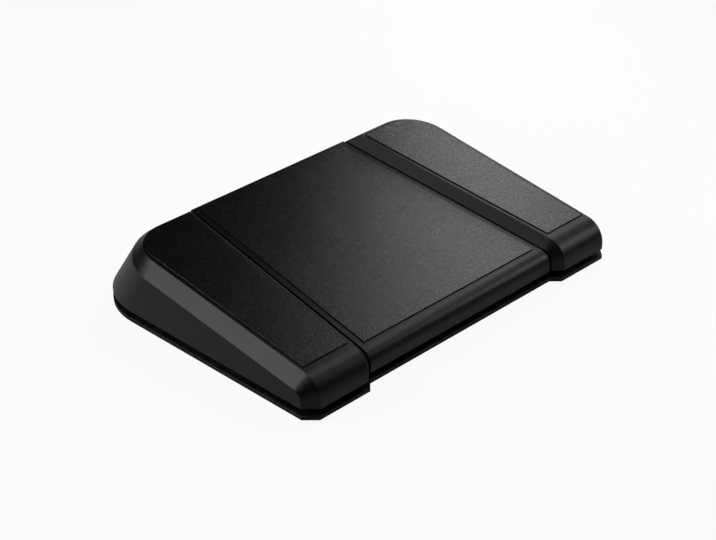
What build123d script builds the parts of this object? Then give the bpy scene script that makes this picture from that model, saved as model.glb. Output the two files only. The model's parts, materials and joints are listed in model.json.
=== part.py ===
from build123d import *
import math
import os

# Three-pedal foot switch. Millimetres. The origin is on the floor under the middle of the case.
# X runs across the pedals, Y from the low heel edge to the high back, Z up.

# Driving sizes of the case
case_width = 236.0
case_depth = 180.0
foot_height = 1.5
plate_thickness = 2.5
skirt_gap = 4.2
heel_height = 23.1
roof_slope = 8.34
wall = 3.0
overrun = 2.0
edge_tolerance = 0.1

# Driving sizes of the roof edge: the bevel that wraps the outer sides, and the leaning back
edge_bevel = 7.1
heel_roll = 13.0
crest_setback = 33.0
shoulder_setback = 24.9
skirt_corner = 43.0
shoulder_corner = 34.0
crest_corner = 23.0

# Driving sizes of the split into three pedals
centre_share = 0.6025
pedal_gap = 1.5
gap_taper = 0.08
pedal_step = 4.95

# Driving sizes of the inlaid tread pads
pad_thickness = 1.6
pad_proud = 0.55
pad_groove = 0.45
pad_heel_line = 14.3
pad_rim = 2.3
pad_rim_centre = 3.7
pad_corner = 17.0
pad_edge = 0.3

# Driving sizes of the hinges and of the travel under the foot
hinge_setback = 15.5
hinge_height = 12.0
pin_radius = 2.0
hinge_running = 0.05
knuckle_radius = 4.2
knuckle_width = 3.0
knuckle_gap = 0.4
press_angle = 1.2

# Driving sizes of the chassis tray
tray_floor = 2.0
tray_wall = 2.0
tray_rim = 4.5
tray_inset = 9.0
channel_clearance = 1.2
inner_skirt_rise = 2.3
inner_skirt_heel = 25.0

# Places of the working parts: shares of the case's depth back from the hinge line, and clearances
spring_share = 0.4972
switch_share = 0.6472
side_hook_share = 0.7694
centre_hook_share = 0.6917
side_stop_wall_gap = 3.0
centre_stop_wall_gap = 4.0
stop_channel_gap = 5.0
side_hook_inset = 26.0
centre_hook_wall_gap = 0.2
side_board_inset = 25.5
main_board_hook_gap = 2.0
main_board_switch_room = 12.0
pin_wall_gap = 0.65
centre_ear_inset = 23.1
port_reach = 2.0

# Springs under the pedals
coil_radius = 6.0
wire_radius = 0.65
coil_turns = 6
points_per_turn = 24
coil_length = 22.0
seat_ring_wall = 1.5
seat_ring_height = 3.0
seat_ring_clearance = 0.35
spring_boss_radius = 8.0
spring_guide_clearance = 0.6
spring_guide_length = 8.0

# Switch boards, key switches and the bosses that press them
board_stand = 1.6
board_thickness = 1.6
switch_base_side = 14.0
switch_base_height = 5.0
switch_head_side = 15.6
switch_head_top = 11.6
switch_head_height = 6.6
switch_floor = 1.2
slider_width = 7.0
slider_depth = 5.4
slider_clearance = 0.2
slider_length = 6.0
stem_height = 3.6
stem_span = 4.0
stem_arm = 1.3
actuator_radius = 4.5
actuator_gap = 0.1

# Stops and hooks that hold each pedal between its two limits, ribs and hinge lugs
stop_radius = 4.0
stop_height = 2.0
stop_boss_height = 2.0
stop_gap = 0.15
hook_width = 10.0
hook_thickness = 2.0
hook_gap = 0.6
barb_reach = 2.2
barb_height = 2.0
barb_gap = 0.25
catch_window = 6.0
catch_bar = 2.5
catch_thickness = 2.5
catch_post = 2.25
catch_side_gap = 0.75
rib_thickness = 1.6
rib_depth = 7.0
side_rib_offset = 10.0
centre_rib_share = 0.34
cross_rib_shares = (0.25, 0.4167, 0.6944)

# Socket at the back of the board, and the cut-out in the centre pedal that the plug passes through
socket_width = 8.94
socket_height = 3.16
socket_length = 7.3
socket_skin = 0.3
socket_corner = 1.5
tongue_width = 6.7
tongue_height = 0.7
tongue_length = 4.5
port_half = 9.0
port_wall_top = 13.3
plug_bay_half = 10.5
plug_bay_top = 18.5
plug_bay_corner = 3.0
plug_bay_reach = 12.5

# Base plate, feet and the screws that hold the chassis down
plate_corner_cut = 6.7
plate_edge_soft = 0.3
base_screw_inset = 14.0
base_screw_heel = 30.0
base_screw_spring_room = 25.0
base_screw_ear_room = 18.0
base_screw_hook_room = 3.0
screw_radius = 1.5
screw_head_radius = 3.0
screw_head_height = 1.6
screw_boss_radius = 4.0
screw_boss_height = 4.0
foot_length = 46.0
foot_width = 12.0
front_foot_share = 0.72
back_foot_share = 0.56
foot_edge = 15.0

# Hinge pin clips, standoffs and boards on the chassis
clip_radius = 3.4
clip_thickness = 0.6
clip_gap = 0.3
pin_overhang = 1.0
standoff_radius = 2.6
board_screw_radius = 1.1
board_screw_head = 2.0
board_screw_head_height = 0.8
side_board_size = (24.0, 26.0)
side_board_screw_edge = 3.0
main_board_edge = 0.2
board_screw_edge = 5.0

# Flat cables and the parts on the controller board
ribbon_thickness = 0.3
ribbon_width = 8.0
ribbon_switch_offset = 2.5
ribbon_lap = 4.0
ribbon_ramp = 3.0
chip_size = (9.0, 9.0, 1.2)
chip_place_share = (-0.556, 0.6)
crystal_size = (5.0, 3.2, 1.3)
crystal_place_share = (-0.556, 0.36)
regulator_size = (6.5, 3.5, 1.6)
regulator_place_share = (0.556, 0.68)

# Heights and lines that follow from the sizes above
half_width = case_width / 2
centre_half_heel = centre_share * half_width
bay_room = half_width - centre_half_heel
bay_middle = half_width - bay_room / 2
front = -case_depth / 2
back = case_depth / 2
plate_top = foot_height + plate_thickness
skirt_z = plate_top + skirt_gap
tray_top = plate_top + tray_floor
hinge_y = front + hinge_setback
hinge_z = hinge_height
spring_y = hinge_y + spring_share * case_depth
switch_y = hinge_y + switch_share * case_depth
side_board_x = half_width - side_board_inset
press_radians = math.radians(press_angle)
slope_sin = math.sin(math.radians(roof_slope))
slope_cos = math.cos(math.radians(roof_slope))
crest_y = back - crest_setback
shoulder_y = back - shoulder_setback
bevel_turn = math.sqrt(2) - 1
split_y = front + 2 * heel_roll
floor_limit = skirt_z + edge_tolerance


def roof_z(y, depth=0.0):
    """Height of the side pedals' sloping roof at y, or of a face that lies depth below it."""
    return heel_height + (y - front) * slope_sin / slope_cos - depth / slope_cos


def roof_plane(depth=0.0):
    """Work plane on the sloping roof: local x across, local y up the slope, z out of the roof."""
    origin = (0, front + depth * slope_sin, heel_height - depth * slope_cos)
    return Plane(origin=origin, x_dir=(1, 0, 0), z_dir=(0, -slope_sin, slope_cos))


def along_roof(y, depth=0.0):
    """Distance up the slope of a roof plane at which it stands over y."""
    return (y - front - depth * slope_sin) / slope_cos


shoulder_z = roof_z(shoulder_y, edge_bevel)
back_lean = (back - shoulder_y) / (shoulder_z - skirt_z)
lean_stretch = math.hypot(1, back_lean)


def back_wall_y(z, inset=0.0):
    """Y of the leaning back wall at height z, inset by a wall thickness."""
    return back - (z - skirt_z) * back_lean - inset * lean_stretch


def back_wall_under_roof(depth, inset=0.0):
    """Y at which the inset back wall meets a face that lies depth below the roof."""
    rise = slope_sin / slope_cos
    height_at_front = heel_height - depth / slope_cos
    foot_line = back + skirt_z * back_lean - inset * lean_stretch
    return (foot_line - (height_at_front - front * rise) * back_lean) / (1 + rise * back_lean)


def rounded_outline(half, start, end, corner):
    """Rectangle from start to end along y whose two far corners are rounded."""
    corners = [(-half, start), (half, start), (half, end), (-half, end)]
    outline = make_face(Polyline(*corners, close=True))
    return fillet(outline.vertices().group_by(Axis.Y)[-1], corner)


def heel_profile(depth, heel_y, floor, roll, end_y, end_floor_y=None):
    """Side view of a pedal: vertical heel wall, rolled brow, sloping roof and a far edge."""
    far_floor = end_y if end_floor_y is None else end_floor_y
    brow = (heel_y, roof_z(heel_y, depth))
    corners = [(heel_y, floor), brow, (end_y, roof_z(end_y, depth)), (far_floor, floor)]
    face = make_face(Polyline(*corners, close=True))
    face = fillet(face.vertices().sort_by_distance((*brow, 0))[0], roll)
    return Plane.YZ * face


def bevel_edges(solid, side_x):
    """Edges of the heel wall, rolled brow and roof on the two planes x = +side_x and -side_x."""
    chosen = []
    for edge in solid.edges():
        middle = edge @ 0.5
        on_side = abs(abs(middle.X) - side_x) < edge_tolerance
        at_floor = (edge @ 0).Z < floor_limit and (edge @ 1).Z < floor_limit
        at_split = abs(middle.Y - split_y) < edge_tolerance
        if on_side and not at_floor and not at_split:
            chosen.append(edge)
    return chosen


def case_block(inset, floor):
    """Outer body of all three pedals at the side pedals' height, inset by a wall thickness."""
    side_x = half_width - inset
    bevel = edge_bevel - (1 - bevel_turn) * inset
    face = heel_profile(inset, front + inset, floor, heel_roll - inset, split_y)
    heel_part = extrude(face, amount=side_x, both=True)
    heel_part = chamfer(bevel_edges(heel_part, side_x), bevel)
    shoulder_depth = edge_bevel + bevel_turn * inset
    shoulder_end = along_roof(back_wall_under_roof(shoulder_depth, inset), shoulder_depth)
    crest_end = along_roof(crest_y - inset * bevel_turn, inset)
    shoulder_start = along_roof(split_y, shoulder_depth)
    crest_start = along_roof(split_y, inset)
    skirt = rounded_outline(side_x, split_y, back_wall_y(floor, inset), skirt_corner - inset)
    shoulder = rounded_outline(side_x, shoulder_start, shoulder_end, shoulder_corner - inset)
    crest = rounded_outline(side_x - bevel, crest_start, crest_end, crest_corner - inset * bevel_turn)
    sections = [Pos(0, 0, floor) * skirt, roof_plane(shoulder_depth) * shoulder, roof_plane(inset) * crest]
    return heel_part + loft(sections, ruled=True)


def gap_x(y, offset=0.0):
    """X of the right-hand gap line at y, moved outwards by offset."""
    return centre_half_heel - gap_taper * (y - front) + offset


def bay_prism(offset, low, high):
    """Upright prism over the right-hand bay, from the gap line moved by offset to outside the case."""
    heel_y = front - overrun
    back_y = back + overrun
    far_x = half_width + overrun
    heel_x = gap_x(heel_y, offset)
    back_x = gap_x(back_y, offset)
    corners = [(heel_x, heel_y), (far_x, heel_y), (far_x, back_y), (back_x, back_y)]
    return Pos(0, 0, low) * extrude(make_face(Polyline(*corners, close=True)), amount=high - low)


def centre_prism(offset, low, high):
    """Upright prism between the two gap lines, each moved outwards by offset."""
    heel_y = front - overrun
    back_y = back + overrun
    heel_x = gap_x(heel_y, offset)
    back_x = gap_x(back_y, offset)
    corners = [(-heel_x, heel_y), (heel_x, heel_y), (back_x, back_y), (-back_x, back_y)]
    return Pos(0, 0, low) * extrude(make_face(Polyline(*corners, close=True)), amount=high - low)


block_top = roof_z(back) + overrun


def inner_bevel(block, offset, bevel):
    """Bevels the right-hand bay's inner heel corner, brow and roof edge."""
    chosen = []
    for edge in block.edges():
        points = [edge @ 0, edge @ 0.5, edge @ 1]
        along_gap = all(abs(point.X - gap_x(point.Y, offset)) < edge_tolerance for point in points)
        above_floor = max(point.Z for point in points) > floor_limit
        before_crest = max(point.Y for point in points) < (crest_y + shoulder_y) / 2
        if along_gap and above_floor and before_crest:
            chosen.append(edge)
    return chamfer(chosen, bevel)


def side_form(inset, floor):
    """Outer body of the right-hand pedal, or of the hollow inside it when inset."""
    offset = pedal_gap + inset
    body = case_block(inset, floor) & bay_prism(offset, floor - overrun, block_top)
    return inner_bevel(body, offset, pedal_step - (1 - bevel_turn) * inset)


centre_drop = pedal_step


def centre_form(inset, floor):
    """Outer body of the centre pedal, which stands one step lower and further back at the heel."""
    depth = centre_drop + inset
    heel_y = front + pedal_step + inset
    end_y = back_wall_under_roof(depth, inset)
    roll = heel_roll - pedal_step - inset
    face = heel_profile(depth, heel_y, floor, roll, end_y, back_wall_y(floor, inset))
    body = extrude(face, amount=half_width, both=True)
    return body & centre_prism(-inset, floor - overrun, block_top)


# Tread pads, inlaid in the roofs

def side_pad_outline(grow):
    """Tread outline on the right-hand roof, square at the heel and rounded at the outer back."""
    heel_y = front + pad_heel_line - grow
    back_y = crest_y - pad_rim + grow
    outer_x = half_width - edge_bevel - pad_rim + grow
    inner = pedal_gap + pedal_step + pad_rim - grow
    corners = [
        (gap_x(heel_y, inner), along_roof(heel_y)),
        (outer_x, along_roof(heel_y)),
        (outer_x, along_roof(back_y)),
        (gap_x(back_y, inner), along_roof(back_y)),
    ]
    outline = make_face(Polyline(*corners, close=True))
    outer_back = outline.vertices().sort_by_distance((*corners[2], 0))[0]
    return fillet(outer_back, pad_corner + grow)


def centre_pad_outline(grow):
    """Tread outline on the centre roof, which narrows towards the back."""
    heel_y = front + pad_heel_line - grow
    back_y = back_wall_under_roof(centre_drop) - pad_rim + grow
    inner = grow - pad_rim_centre
    corners = [
        (-gap_x(heel_y, inner), along_roof(heel_y, centre_drop)),
        (gap_x(heel_y, inner), along_roof(heel_y, centre_drop)),
        (gap_x(back_y, inner), along_roof(back_y, centre_drop)),
        (-gap_x(back_y, inner), along_roof(back_y, centre_drop)),
    ]
    return make_face(Polyline(*corners, close=True))


pad_seat_depth = pad_thickness - pad_proud


def tread_pad(outline, drop):
    """Tread pad that stands a little proud of the roof, with a softened top edge."""
    seat = roof_plane(drop + pad_seat_depth)
    pad = extrude(seat * outline, amount=pad_thickness)
    top = pad.faces().sort_by(Axis.Z)[-1]
    return chamfer(top.edges(), pad_edge)


def tread_seat(outline, drop):
    """Pocket for a tread pad, cut down into the roof."""
    seat = roof_plane(drop + pad_seat_depth)
    return extrude(seat * outline, amount=pad_thickness + overrun)


board_z = tray_top + board_stand
board_top = board_z + board_thickness

switch_top = board_top + switch_base_height + switch_head_height
stem_top = switch_top + stem_height


def drop_at(y):
    """How far a point of a pedal sinks at full press."""
    return (y - hinge_y) * press_radians


def column(x, y, low, section):
    """Upright column of a plan section from low up past the roof."""
    return Pos(x, y, low) * extrude(section, amount=block_top - low)


def stop_post(x, y):
    """Post that meets the rubber stop at full press."""
    low = tray_top + stop_boss_height + stop_height + drop_at(y) + stop_gap
    return column(x, y, low, Circle(stop_radius))


def hook(x, y):
    """Snap hook that hangs from the roof and catches under the chassis bar."""
    barb_top = tray_top + catch_window - barb_gap
    plate_y = y - hook_gap - hook_thickness / 2
    plate = column(x, plate_y, barb_top - barb_height, Rectangle(hook_width, hook_thickness))
    barb_y = y - hook_gap + barb_reach / 2
    barb = Pos(x, barb_y, barb_top - barb_height / 2) * Box(hook_width, barb_reach, barb_height)
    lead_in = barb.edges().group_by(Axis.Z)[0].sort_by(Axis.Y)[-1]
    return plate + chamfer(lead_in, barb_height / 2)


def spring_boss(x, top_z):
    """Boss that closes the spring's top end and guides its bore."""
    boss = column(x, spring_y, top_z, Circle(spring_boss_radius))
    guide_radius = coil_radius - wire_radius - spring_guide_clearance
    guide = extrude(Circle(guide_radius), amount=spring_guide_length + overrun)
    guide = Pos(x, spring_y, top_z - spring_guide_length) * guide
    return boss + chamfer(guide.edges().group_by(Axis.Z)[0], wire_radius)


def hinge_plane(x):
    """Upright work plane across the hinge line at x: local x along Y, local y up."""
    return Plane(origin=(x, hinge_y, hinge_z), x_dir=(0, 1, 0), z_dir=(1, 0, 0))


def knuckle(x, width):
    """Hinge lug that hangs from the roof round the hinge pin; it still has no bore."""
    lug = Rectangle(2 * knuckle_radius, block_top - hinge_z, align=(Align.CENTER, Align.MIN))
    lug += Circle(knuckle_radius)
    return extrude(hinge_plane(x - width / 2) * lug, amount=width)


def pin_bore(x, length, radius):
    """Round bar along the hinge line, used as a bore or as the pin itself."""
    return Pos(x, hinge_y, hinge_z) * Rot(0, 90, 0) * Cylinder(radius, length)


def roof_rib(x, drop):
    """Long stiffening rib under a roof."""
    plane = roof_plane(drop + wall + rib_depth)
    length = along_roof(crest_y) - along_roof(split_y)
    strip = Pos(x, along_roof(split_y) + length / 2) * Rectangle(rib_thickness, length)
    return extrude(plane * strip, amount=rib_depth + wall)


def cross_rib(y, drop):
    """Stiffening rib that runs across under a roof."""
    plane = roof_plane(drop + wall + rib_depth)
    strip = Pos(0, along_roof(y)) * Rectangle(case_width, rib_thickness)
    return extrude(plane * strip, amount=rib_depth + wall)


spring_top = tray_top + coil_length
actuator_z = stem_top + actuator_gap
knuckle_shift = knuckle_width + knuckle_gap
pin_past_ear = knuckle_shift + knuckle_width / 2 + clip_gap + clip_thickness + pin_overhang
side_pin_half = bay_room / 2 - wall - pin_wall_gap
side_ears = (bay_middle - side_pin_half + pin_past_ear, bay_middle + side_pin_half - pin_past_ear)
centre_ear_x = centre_half_heel - centre_ear_inset
centre_ears = (-centre_ear_x, 0.0, centre_ear_x)
centre_pin_half = centre_ear_x + pin_past_ear
hinge_spans = ((-bay_middle, side_pin_half), (0.0, centre_pin_half), (bay_middle, side_pin_half))
tray_back_y = back - tray_inset - tray_wall
port_face_y = tray_back_y + port_reach
board_far_y = tray_back_y - tray_wall - main_board_edge
board_near_y = switch_y - main_board_switch_room
catch_half = hook_width / 2 + catch_side_gap + catch_post
side_hook_y = hinge_y + side_hook_share * case_depth
side_hook_place = (half_width - side_hook_inset, side_hook_y)
side_stop_y = tray_back_y - tray_wall - stop_radius - side_stop_wall_gap
side_stop_x = gap_x(side_stop_y, pedal_gap + wall + channel_clearance) + stop_channel_gap
side_stop_place = (side_stop_x, side_stop_y)
centre_hook_y = hinge_y + centre_hook_share * case_depth
centre_wall_x = gap_x(centre_hook_y, -wall - channel_clearance)
centre_hook_place = (centre_wall_x - tray_wall - catch_half - centre_hook_wall_gap, centre_hook_y)
centre_stop_y = tray_back_y - tray_wall - stop_radius - centre_stop_wall_gap
centre_stop_place = (centre_hook_place[0], centre_stop_y)
main_board_half = centre_hook_place[0] - catch_half - main_board_hook_gap
main_board_depth = board_far_y - board_near_y
side_screw_x = side_board_size[0] / 2 - side_board_screw_edge
side_screw_y = side_board_size[1] / 2 - side_board_screw_edge
side_board_screws = [
    (side_board_x - side_screw_x, switch_y - side_screw_y),
    (side_board_x + side_screw_x, switch_y + side_screw_y),
]
main_board_screws = [
    (main_board_half - board_screw_edge, board_near_y + board_screw_edge),
    (main_board_half - board_screw_edge, board_far_y - board_screw_edge),
]
base_screw_places = [
    (half_width - base_screw_inset, front + base_screw_heel),
    (half_width - base_screw_inset, spring_y - base_screw_spring_room),
    (side_hook_place[0] - catch_half - screw_boss_radius, side_hook_y - base_screw_hook_room),
    (centre_ear_x - base_screw_ear_room, front + base_screw_heel),
    (centre_hook_place[0], spring_y),
]
foot_places = [
    (front_foot_share * half_width, front + foot_edge),
    (back_foot_share * half_width, back - foot_edge),
]
middle_foot_places = [(0.0, front + foot_edge), (0.0, back - foot_edge)]


def inner_skirt_relief(floor):
    """Space under the shortened skirts that face the neighbouring pedal."""
    heel_y = front + inner_skirt_heel
    length = back_wall_y(skirt_z) - wall * lean_stretch - heel_y
    low = floor - overrun
    height = skirt_z + inner_skirt_rise - low
    middle_y = heel_y + length / 2
    return Pos(0, middle_y, low + height / 2) * Box(case_width - 2 * edge_bevel, length, height)


def side_shell():
    """Right-hand pedal shell: bevelled, hollow from below, with its hinge lugs, bosses and hook."""
    outer = side_form(0.0, skirt_z)
    low = skirt_z - overrun
    hollow = side_form(wall, low)
    core = side_form(wall / 2, low)
    inside = spring_boss(bay_middle, spring_top)
    inside += column(side_board_x, switch_y, actuator_z, Circle(actuator_radius))
    inside += stop_post(*side_stop_place) + hook(*side_hook_place)
    inside += knuckle(side_ears[0] - knuckle_shift, knuckle_width)
    inside += knuckle(side_ears[1] + knuckle_shift, knuckle_width)
    for side in (-1, 1):
        inside += roof_rib(bay_middle + side * side_rib_offset, 0.0)
    for share in cross_rib_shares:
        inside += cross_rib(front + share * case_depth, 0.0)
    shell = (outer - hollow) + (inside & core)
    gap_strip = bay_prism(0.0, low, block_top) - bay_prism(pedal_gap + wall + overrun, low, block_top)
    shell -= gap_strip & inner_skirt_relief(skirt_z)
    shell -= pin_bore(bay_middle, 2 * side_pin_half, pin_radius + hinge_running)
    return shell - tread_seat(side_pad_outline(pad_groove), 0.0)


# Socket at the back of the board, and the cut-out in the centre pedal that the plug passes through


def plug_bay():
    """Rounded cut through the centre pedal's back wall in front of the socket."""
    low = skirt_z - overrun
    height = plug_bay_top - low
    outline = Rectangle(2 * plug_bay_half, height)
    outline = fillet(outline.vertices().group_by(Axis.Y)[-1], plug_bay_corner)
    start_y = port_face_y - plug_bay_reach
    place = Plane(origin=(0, start_y, low + height / 2), x_dir=(-1, 0, 0), z_dir=(0, 1, 0))
    return extrude(place * outline, amount=back + overrun - start_y)


def centre_shell():
    """Centre pedal shell, hollow from below, with hinge lugs, bosses, hooks and the plug cut-out."""
    outer = centre_form(0.0, skirt_z)
    low = skirt_z - overrun
    hollow = centre_form(wall, low)
    core = centre_form(wall / 2, low)
    inside = spring_boss(0.0, spring_top) + column(0.0, switch_y, actuator_z, Circle(actuator_radius))
    for side in (-1, 1):
        inside += stop_post(side * centre_stop_place[0], centre_stop_place[1])
        inside += hook(side * centre_hook_place[0], centre_hook_place[1])
        inside += knuckle(side * (centre_ears[2] + knuckle_shift), knuckle_width)
        inside += knuckle(side * knuckle_shift, knuckle_width)
        inside += roof_rib(side * centre_rib_share * centre_half_heel, centre_drop)
    for share in cross_rib_shares:
        inside += cross_rib(front + share * case_depth, centre_drop)
    shell = (outer - hollow) + (inside & core)
    gap_strip = centre_prism(0.0, low, block_top) - centre_prism(-wall - overrun, low, block_top)
    shell -= gap_strip & inner_skirt_relief(skirt_z)
    shell -= pin_bore(0.0, 2 * centre_pin_half, pin_radius + hinge_running)
    shell -= plug_bay()
    return shell - tread_seat(centre_pad_outline(pad_groove), centre_drop)


# Base plate, feet and the screws that hold the chassis down


def both_sides(places):
    """The given places and their mirror images in the case's middle plane."""
    return [(side * x, y) for x, y in places for side in (1, -1)]


def plate_outline():
    """Plan of the base plate: stepped heel edge with 45 degree corners, and round back corners."""
    right = [
        (half_width, back),
        (half_width, front + plate_corner_cut),
        (half_width - plate_corner_cut, front),
        (centre_half_heel + pedal_step, front),
        (centre_half_heel, front + pedal_step),
    ]
    left = [(-x, y) for x, y in reversed(right)]
    outline = make_face(Polyline(*right, *left, close=True))
    return fillet(outline.vertices().group_by(Axis.Y)[-1], skirt_corner)


def countersunk_screw(x, y, head_z, length, radius, head_radius, head_height, flip):
    """Countersunk screw whose flat head lies at head_z; its shank points up, or down when flipped."""
    shank_length = length - head_height
    head = Cone(head_radius, radius, head_height, align=(Align.CENTER, Align.CENTER, Align.MIN))
    shank = Cylinder(radius, shank_length, align=(Align.CENTER, Align.CENTER, Align.MIN))
    screw = head + Pos(0, 0, head_height) * shank
    turn = Rot(180, 0, 0) if flip else Rot(0, 0, 0)
    return Pos(x, y, head_z) * turn * screw


def base_screw(x, y):
    """One chassis screw, flush with the underside of the base plate."""
    length = plate_thickness + tray_floor + screw_boss_height
    return countersunk_screw(
        x, y, foot_height, length, screw_radius, screw_head_radius, screw_head_height, False
    )


def base_plate():
    """Steel base plate with countersunk holes and a softened rim."""
    plate = Pos(0, 0, foot_height) * extrude(plate_outline(), amount=plate_thickness)
    rim = [edge for edge in plate.edges() if abs((edge @ 0).Z - (edge @ 1).Z) < plate_edge_soft]
    plate = chamfer(rim, plate_edge_soft)
    for x, y in both_sides(base_screw_places):
        plate -= base_screw(x, y)
    return plate


def rubber_feet():
    """Six long rubber feet under the plate."""
    feet = []
    for x, y in both_sides(foot_places) + middle_foot_places:
        foot = Pos(x, y) * extrude(SlotOverall(foot_length, foot_width), amount=foot_height)
        feet.append(foot)
    return Compound(children=feet)


# Chassis


def ear(x):
    """Chassis lug that carries a hinge pin."""
    height = hinge_z - plate_top
    lug = Rectangle(2 * knuckle_radius, height, align=(Align.CENTER, Align.MAX)) + Circle(knuckle_radius)
    return extrude(hinge_plane(x - knuckle_width / 2) * lug, amount=knuckle_width)


def catch(x, y):
    """Upright frame whose top bar holds a pedal's hook down."""
    inner = catch_half - catch_post
    height = catch_window + catch_bar
    middle_y = y + catch_thickness / 2
    frame = Pos(x, middle_y, tray_top + height / 2) * Box(2 * catch_half, catch_thickness, height)
    window = Box(2 * inner, 2 * catch_thickness, catch_window)
    return frame - Pos(x, middle_y, tray_top + catch_window / 2) * window


def boss(x, y, radius, height):
    """Round boss on the chassis floor."""
    return Pos(x, y, tray_top) * Cylinder(radius, height, align=(Align.CENTER, Align.CENTER, Align.MIN))


def spring_seat(x):
    """Ring on the chassis floor that holds a spring's foot."""
    bore = coil_radius + wire_radius + seat_ring_clearance
    ring = boss(x, spring_y, bore + seat_ring_wall, seat_ring_height)
    return ring - boss(x, spring_y, bore, seat_ring_height)


def socket_form(length, inset=0.0):
    """Flat-oval body of the socket along Y, ending at the port face."""
    width = socket_width - 2 * inset
    height = socket_height - 2 * inset
    outline = RectangleRounded(width, height, socket_corner - inset)
    middle_z = board_top + socket_height / 2
    place = Plane(origin=(0, port_face_y, middle_z), x_dir=(1, 0, 0), z_dir=(0, -1, 0))
    return extrude(place * outline, amount=length)


def tray_plan(inset):
    """Plan of the chassis tray: straight heel, square front corners and round back corners."""
    total = tray_inset + inset
    return rounded_outline(half_width - total, front + total, tray_back_y - inset, skirt_corner - total)


def chassis():
    """Moulded tray that carries the hinges, springs, switches, stops, catches and the socket."""
    height = tray_floor + tray_rim
    tray = Pos(0, 0, plate_top) * extrude(tray_plan(0.0), amount=height)
    tray -= Pos(0, 0, tray_top) * extrude(tray_plan(tray_wall), amount=tray_rim)
    clear = wall + channel_clearance
    channels = bay_prism(-clear, tray_top, block_top) - bay_prism(pedal_gap + clear, tray_top, block_top)
    tray -= channels
    tray -= mirror(channels, about=Plane.YZ)
    for x in side_ears:
        tray += ear(x) + ear(-x)
    for x in centre_ears:
        tray += ear(x)
    for x in (-bay_middle, 0.0, bay_middle):
        tray += spring_seat(x)
    for x, y in both_sides([side_stop_place, centre_stop_place]):
        tray += boss(x, y, stop_radius, stop_boss_height)
    for x, y in both_sides([side_hook_place, centre_hook_place]):
        tray += catch(x, y)
    for x, y in both_sides(side_board_screws + main_board_screws):
        tray += boss(x, y, standoff_radius, board_stand)
    for x, y in both_sides(base_screw_places):
        tray += boss(x, y, screw_boss_radius, screw_boss_height)
    port_depth = port_face_y - (tray_back_y - tray_wall)
    port = Box(2 * port_half, port_depth, port_wall_top - plate_top)
    tray += Pos(0, port_face_y - port_depth / 2, (port_wall_top + plate_top) / 2) * port
    tray -= socket_form(socket_length)
    for x, y in both_sides(base_screw_places):
        tray -= base_screw(x, y)
    for x, y in both_sides(side_board_screws + main_board_screws):
        tray -= board_screw(x, y)
    for x, half in hinge_spans:
        tray -= pin_bore(x, 2 * half, pin_radius)
    return tray


def hinge_pin(x, half_span):
    """Steel hinge pin through the lugs of one pedal."""
    return pin_bore(x, 2 * half_span, pin_radius)


def pin_clips():
    """Retaining rings at both ends of every hinge pin."""
    rings = []
    for x, half in hinge_spans:
        for side in (-1, 1):
            middle = x + side * (half - pin_overhang - clip_thickness / 2)
            ring = pin_bore(middle, clip_thickness, clip_radius)
            rings.append(ring - pin_bore(middle, 2 * clip_thickness, pin_radius))
    return Compound(children=rings)


def helix_point(x, turn):
    """Point of a spring's wire centre line after a number of turns."""
    angle = 2 * math.pi * turn
    rise = coil_length - 2 * wire_radius
    z = tray_top + wire_radius + rise * turn / coil_turns
    return (x + coil_radius * math.cos(angle), spring_y + coil_radius * math.sin(angle), z)


def coil_path(x):
    """Centre line of a spring's wire, wound in half turns."""
    arcs = []
    for half_turn in range(2 * coil_turns):
        start = half_turn / 2
        points = [helix_point(x, start), helix_point(x, start + 0.25), helix_point(x, start + 0.5)]
        arcs.append(ThreePointArc(*points))
    return Wire(arcs)


def coil_spring(x):
    """Compression spring as one unbroken wire."""
    path = coil_path(x)
    section = Plane(origin=path @ 0, z_dir=path % 0) * Circle(wire_radius)
    return sweep(section, path=path)


def least_coil_gap():
    """Least space between two turns of a spring's wire, measured on points of its centre line."""
    path = coil_path(0.0)
    count = coil_turns * points_per_turn
    points = [path @ (index / count) for index in range(count + 1)]
    distances = []
    for index, point in enumerate(points):
        for other in points[index + points_per_turn // 2:]:
            distances.append((point - other).length)
    return min(distances) - 2 * wire_radius


def rubber_stops():
    """Rubber buffers that each pedal lands on at full press."""
    stops = []
    for x, y in both_sides([side_stop_place, centre_stop_place]):
        stops.append(Pos(0, 0, stop_boss_height) * boss(x, y, stop_radius, stop_height))
    return Compound(children=stops)


# Electronics

def board_screw(x, y):
    """Screw that holds a board on its standoff, head up."""
    length = board_thickness + board_stand
    return countersunk_screw(
        x, y, board_top, length, board_screw_radius, board_screw_head, board_screw_head_height, True
    )


def main_board():
    """Controller board in the centre bay."""
    board = Box(2 * main_board_half, main_board_depth, board_thickness)
    board = Pos(0, (board_near_y + board_far_y) / 2, board_z + board_thickness / 2) * board
    for x, y in both_sides(main_board_screws):
        board -= board_screw(x, y)
    return board


def side_board(side):
    """Small switch board in a side bay."""
    place = Pos(side * side_board_x, switch_y, board_z + board_thickness / 2)
    board = place * Box(side_board_size[0], side_board_size[1], board_thickness)
    for x, y in side_board_screws:
        board -= board_screw(side * x, y)
    return board


def board_screws():
    """All the board screws as one group."""
    places = both_sides(side_board_screws + main_board_screws)
    return Compound(children=[board_screw(x, y) for x, y in places])


def switch_body(x):
    """Key switch housing with a square base and a tapered head."""
    place = Pos(x, switch_y, board_top)
    base = extrude(Rectangle(switch_base_side, switch_base_side), amount=switch_base_height)
    lower = Pos(0, 0, switch_base_height) * Rectangle(switch_head_side, switch_head_side)
    upper = Pos(0, 0, switch_base_height + switch_head_height) * Rectangle(switch_head_top, switch_head_top)
    head = loft([lower, upper])
    well_depth = switch_base_height + switch_head_height - switch_floor
    well = Rectangle(slider_width + 2 * slider_clearance, slider_depth + 2 * slider_clearance)
    return place * (base + head - Pos(0, 0, switch_floor) * extrude(well, amount=well_depth + overrun))


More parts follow.
